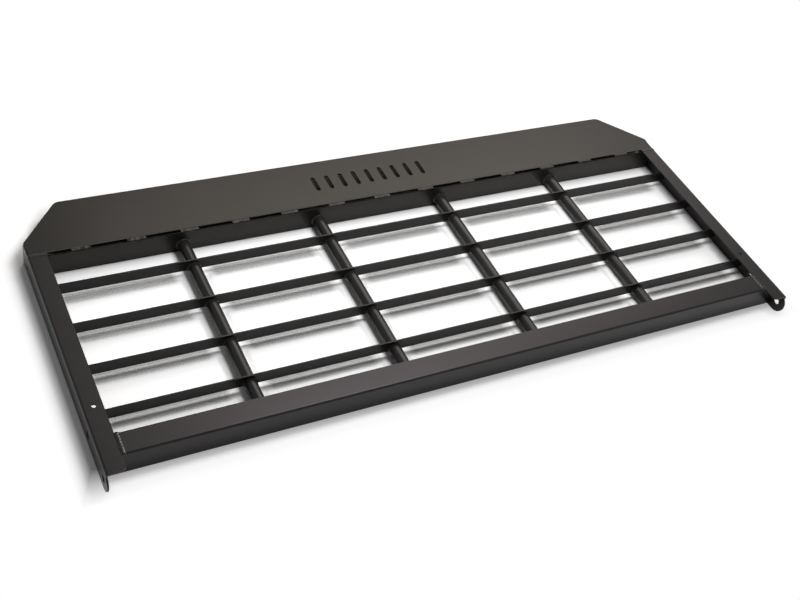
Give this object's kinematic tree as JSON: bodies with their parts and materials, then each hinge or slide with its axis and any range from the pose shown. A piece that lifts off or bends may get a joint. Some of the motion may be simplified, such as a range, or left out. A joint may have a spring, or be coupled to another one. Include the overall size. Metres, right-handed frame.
{
  "type": "headache rack",
  "caption": "Welded headache rack: folded panel with cut corners over a grille of round uprights and notched flat bars, framed by angle rails with bolt-on ears.",
  "frame": {"origin": "middle of the back plane, with the rack lying on its back", "axes": "+X across the vehicle (longest extent), +Y up the rack towards the panel, +Z out of the front face (shortest extent)"},
  "size_m": [1.4732, 0.655, 0.0523],
  "materials": {
    "panel_coat": "satin black powder coat",
    "rail_coat": "satin black powder coat",
    "tube_coat": "satin black powder coat",
    "bar_coat": "satin black powder coat",
    "weld_coat": "satin black powder coat over weld bead"
  },
  "bodies": {
    "root": {"top_panel": "panel_coat", "left_side_rail": "rail_coat", "right_side_rail": "rail_coat", "bottom_rail": "rail_coat", "tube_1": "tube_coat", "tube_2": "tube_coat", "tube_3": "tube_coat", "tube_4": "tube_coat", "bar_1": "bar_coat", "bar_2": "bar_coat", "bar_3": "bar_coat", "bar_4": "bar_coat", "left_panel_seam_weld": "weld_coat", "left_bottom_rail_weld": "weld_coat", "bar_1_left_end_weld": "weld_coat", "bar_2_left_end_weld": "weld_coat", "bar_3_left_end_weld": "weld_coat", "bar_4_left_end_weld": "weld_coat", "right_panel_seam_weld": "weld_coat", "right_bottom_rail_weld": "weld_coat", "bar_1_right_end_weld": "weld_coat", "bar_2_right_end_weld": "weld_coat", "bar_3_right_end_weld": "weld_coat", "bar_4_right_end_weld": "weld_coat", "tube_1_panel_weld": "weld_coat", "bar_1_tube_1_weld": "weld_coat", "bar_2_tube_1_weld": "weld_coat", "bar_3_tube_1_weld": "weld_coat", "bar_4_tube_1_weld": "weld_coat", "tube_2_panel_weld": "weld_coat", "bar_1_tube_2_weld": "weld_coat", "bar_2_tube_2_weld": "weld_coat", "bar_3_tube_2_weld": "weld_coat", "bar_4_tube_2_weld": "weld_coat", "tube_3_panel_weld": "weld_coat", "bar_1_tube_3_weld": "weld_coat", "bar_2_tube_3_weld": "weld_coat", "bar_3_tube_3_weld": "weld_coat", "bar_4_tube_3_weld": "weld_coat", "tube_4_panel_weld": "weld_coat", "bar_1_tube_4_weld": "weld_coat", "bar_2_tube_4_weld": "weld_coat", "bar_3_tube_4_weld": "weld_coat", "bar_4_tube_4_weld": "weld_coat"}
  },
  "joints": []
}
